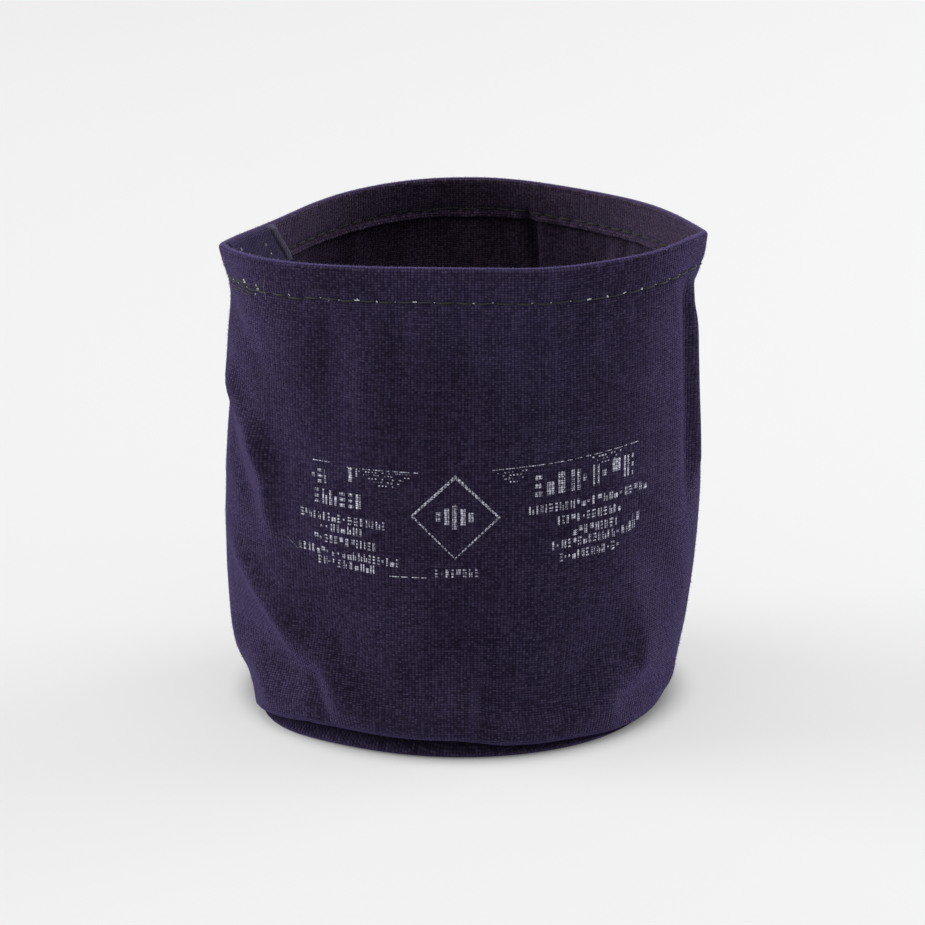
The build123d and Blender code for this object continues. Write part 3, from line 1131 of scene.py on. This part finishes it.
def canvas_colour(g, cloth, tint=NO_TINT):
    """Navy cotton: painted shade between yarns, paler on some crowns, mottled; and where it may wear.
    """
    # painted shade: low places between yarns blend to the darkest navy, with a random tone per yarn
    yarn_tone_and_valley_shade = g.math("MULTIPLY", cloth.crown, cloth.shade * 0.9 + 0.5, clamp=True)
    valley_shade, plain_yarn, crown_yarn = (
        tuple(c * t for c, t in zip(colour, tint)) for colour in (NAVY_VALLEY_SHADE, NAVY, NAVY_CROWN))
    mottle = g.noise(cloth.flat, 34.0, 4.0, 0.6)
    patches = g.noise(g.join(cloth.v, cloth.u, 7.0), 11.0, 3.0, 0.55)
    pale = g.math("MULTIPLY", g.remap(cloth.speck, 0.29, 0.86), cloth.crown, clamp=True)
    pale = pale * g.remap(mottle, 0.30, 0.70, 0.65, 1.1)
    yarn = g.blend(pale, g.blend(yarn_tone_and_valley_shade, valley_shade, plain_yarn), crown_yarn)
    wear = g.remap(mottle, 0.42, 0.75) * g.remap(patches, 0.40, 0.70, 0.15, 0.75) * cloth.crown
    return yarn, wear


def edge_wear_and_highlight(g, cloth, folds_at):
    """How rubbed the cloth is: strongest along the folds at the given v, where it also paints a
    highlight, and at the creases.
    """
    lines = [(cloth.v, *fold) for fold in folds_at]
    lines += [(cloth.u, crease * MM, 0.0035, 0.42) for crease in (0.0, FRONT, ROUND)]
    total = 0.0
    for place_on, centre, reach, strength in lines:
        rubbed = g.remap(abs(place_on - centre), 0.0, reach, 1.0, 0.0) * strength
        total = g.math("MAXIMUM", total, rubbed)
    return total * (cloth.crown * 0.75 + 0.35)


def finish_cloth(g, colour, relief, sheen=SHEEN):
    """Matt cotton with its nap's sheen."""
    return g.finish({
        "Base Color": colour, "Roughness": 0.95, "Specular IOR Level": 0.03,
        "Sheen Weight": 0.31, "Sheen Roughness": 0.36, "Sheen Tint": (*sheen, 1),
        "Normal": g.bump(relief, WEAVE_DEPTH)})


def canvas_material(name, rims=(), worn=0.55, rubbed=NAVY_WORN_AND_HIGHLIGHT, extra=0.0, tint=NO_TINT,
                    sheen=SHEEN, shaded=None):
    """Canvas worn to the rubbed colour, which also paints a highlight on rims; shaded names a
    painted-shade attribute.
    """
    g = Graph(name)
    cloth = weave(g)
    yarn, wear = canvas_colour(g, cloth, tint)
    if rims:
        wear = g.math("MAXIMUM", wear, edge_wear_and_highlight(g, cloth, rims))
    colour = g.blend(g.math("MULTIPLY_ADD", wear, worn, extra, clamp=True), yarn, rubbed)
    if shaded:
        # painted shade, from the attribute
        fac = g.node("ShaderNodeAttribute", {}, "Fac", attribute_name=shaded)
        colour = g.blend(fac * 0.85, colour, NAVY_SHADED)
    return finish_cloth(g, colour, cloth.height + g.noise(cloth.flat, 2600.0) * 0.35, sheen)


def ink_material(name, low, high):
    """Pigment left on the crowns of the yarns, broken up where the stamp has worn."""
    g = Graph(name)
    cloth = weave(g)
    yarn, _ = canvas_colour(g, cloth)
    broken = g.noise(cloth.flat, 1500.0, 2.5, 0.6)
    broad = g.noise(g.join(cloth.v, cloth.u, 11.0), 75.0, 3.0)
    amount = cloth.height * 0.9 + broken + cloth.speck * 0.5 + broad * 0.7
    tone = g.blend(g.remap(cloth.speck, 0.22, 0.64), (0.28, 0.265, 0.36), (0.80, 0.78, 0.90))
    return finish_cloth(g, g.blend(g.remap(amount, low, high), yarn, tone), cloth.height)


def thread_material(name, dark, pale):
    """Twisted thread: its plies, with painted shade on one side of each, and a little hairiness."""
    g = Graph(name)
    along, turn = g.cloth_map()
    ply = g.math("SINE", (turn * (PLIES / MM) - along * (TWISTS / MM)) * (2 * math.pi))
    hair = g.noise(g.join(along, turn), 3000.0)
    # painted shade: the tone follows each ply's twist, darker on one side; the hair noise adds a
    # random tone
    tone = g.remap(ply, -1.0, 1.0, 0.15, 0.75) + (hair - 0.5)
    return g.finish({"Base Color": g.blend(tone, dark, pale), "Roughness": 0.7,
                     "Sheen Weight": 0.06, "Normal": g.bump(ply, 0.00005)})


strip = wall_path()
strip_along = distances(strip)
RIM_V = float(strip_along[np.argmax(strip[:, 1])]) * MM
foot = np.argmin(np.abs(strip[:, 0] + 1.0) + np.abs(strip[:, 1] - BASE_SEAM_Z))
SEAM_V = float(strip_along[foot]) * MM
# the rim's fold is rubbed pale, and this rubbing also paints a highlight along its edge; the base
# seam's fold gets a weaker painted highlight
RIM_RUB_AND_HIGHLIGHT = (RIM_V, 0.0010, 1.5)

canvas = canvas_material("navy_canvas", (RIM_RUB_AND_HIGHLIGHT, (SEAM_V, 0.0022, 0.35)))
# the inner faces get a lit copy of the canvas: painted light, with its own sheen tint
inside_canvas_painted_light = canvas_material("navy_canvas_inside_painted_light", (RIM_RUB_AND_HIGHLIGHT,), worn=0.4, tint=INSIDE_PAINTED_LIGHT_TINT,
                                sheen=INSIDE_SHEEN)
base_canvas = canvas_material("navy_canvas_base", worn=0.4, shaded="painted_seam_shade")
lap_canvas = canvas_material("navy_canvas_lap", worn=1.1, rubbed=(0.074, 0.064, 0.112), extra=0.20)
fold_canvas = canvas_material("navy_canvas_fold", worn=0.9, rubbed=(0.115, 0.108, 0.130), extra=0.50)
ink_bold = ink_material("stamp_ink_bold", 1.44, 1.84)
ink_fine = ink_material("stamp_ink_fine", 1.38, 1.74)
olive = thread_material("olive_thread", (0.006, 0.0057, 0.0055), (0.020, 0.019, 0.0165))
dark = thread_material("dark_thread", (0.0045, 0.0040, 0.0052), (0.0110, 0.0100, 0.0125))
undyed = thread_material("undyed_fibre", (0.45, 0.45, 0.50), (0.85, 0.85, 0.88))
fuzz_fibre = thread_material("navy_fibre", (0.10, 0.085, 0.20), (0.24, 0.20, 0.42))

for slot, finishes in (
    ("canvas", ((wall, canvas, inside_canvas_painted_light), (base, base_canvas), (side_allowance, inside_canvas_painted_light),
                (lap, lap_canvas), (lap_fold, fold_canvas), (stamp_bold, ink_bold),
                (stamp_fine, ink_fine))),
    ("thread", ((needle, dark), (bobbin, olive), (tack, dark), (side_thread, olive),
                (base_thread, olive), (fibre, undyed), (fuzz, fuzz_fibre))),
):
    for piece, *materials in finishes:
        for material in materials:
            piece.data.materials.append(material)
        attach(piece, "root")

# ---- stage, light and camera: metres from here on --------

PAPER = 0.31
GLOW = 0.468                # light that the paper adds, faded out near the bin as a painted contact shadow
PAINTED_SHADOW_INNER = 0.053           # distance from the axis where the glow starts to rise out of the painted contact shadow
PAINTED_SHADOW_OUTER = 0.071
PAINTED_LIGHT_ACROSS = 0.10          # painted light: how much brighter it is for each metre to the right
WORLD = (0.90, 0.90, 0.915)
WORLD_STRENGTH = 0.56

bpy.ops.mesh.primitive_plane_add(size=6)
floor = bpy.context.object
floor.name = "floor"
g = Graph("floor_paper")
spot = g.node("ShaderNodeTexCoord", {}, "Object")
from_axis = g.node("ShaderNodeVectorMath", {0: spot}, "Value", operation="LENGTH")
# painted contact shadow: the paper's glow fades out near the bin's foot; a painted light gradient
# makes it brighter to the right
glow_past_painted_shadow = g.remap(from_axis, PAINTED_SHADOW_INNER, PAINTED_SHADOW_OUTER, 0.0, GLOW, easing="SMOOTHERSTEP")
floor.data.materials.append(g.finish({
    "Base Color": (PAPER, PAPER, PAPER, 1), "Roughness": 0.9, "Specular IOR Level": 0.0,
    "Emission Color": (1, 1, 1, 1), "Emission Strength": g.split(spot)[0] * PAINTED_LIGHT_ACROSS + glow_past_painted_shadow}))

world = bpy.data.worlds.new("world")
bpy.context.scene.world = world
world.use_nodes = True
sky = world.node_tree.nodes["Background"]
sky.inputs["Color"].default_value = (*WORLD, 1)
sky.inputs["Strength"].default_value = WORLD_STRENGTH


def soft_light(name, spot, aim, size, watts):
    """A large square softbox at a spot, turned towards its aim."""
    data = bpy.data.lights.new(name, "AREA")
    data.shape = "SQUARE"
    data.size = size
    data.energy = watts
    light = add_object(name, data)
    light.location = spot
    towards = Vector(aim) - Vector(spot)
    light.rotation_euler = towards.to_track_quat("-Z", "Y").to_euler()


MIDDLE = (0, 0, 0.05)
soft_light("left_softbox", (-2.3, 0.3, 1.0), MIDDLE, size=1.6, watts=60)
soft_light("right_softbox", (2.2, 0.9, 0.9), MIDDLE, size=1.6, watts=47)
soft_light("top_softbox", (0.0, -0.2, 2.5), (0, 0, 0), size=2.0, watts=26)

CAMERA_DISTANCE = 1.2
CAMERA_ELEVATION = math.radians(17.6)
AIM = (0.0, 0.0, 0.0676)
FRAME_WIDTH_AT_AIM = 0.2667
SENSOR = 36.0
data = bpy.data.cameras.new("camera")
camera = add_object("camera", data)
bpy.context.scene.camera = camera
data.sensor_width = SENSOR
data.lens = SENSOR * CAMERA_DISTANCE / FRAME_WIDTH_AT_AIM
camera.location = (
    AIM[0],
    AIM[1] - CAMERA_DISTANCE * math.cos(CAMERA_ELEVATION),
    AIM[2] + CAMERA_DISTANCE * math.sin(CAMERA_ELEVATION),
)
camera.rotation_euler = (math.pi / 2 - CAMERA_ELEVATION, 0, 0)
bpy.context.scene.view_settings.view_transform = "Standard"
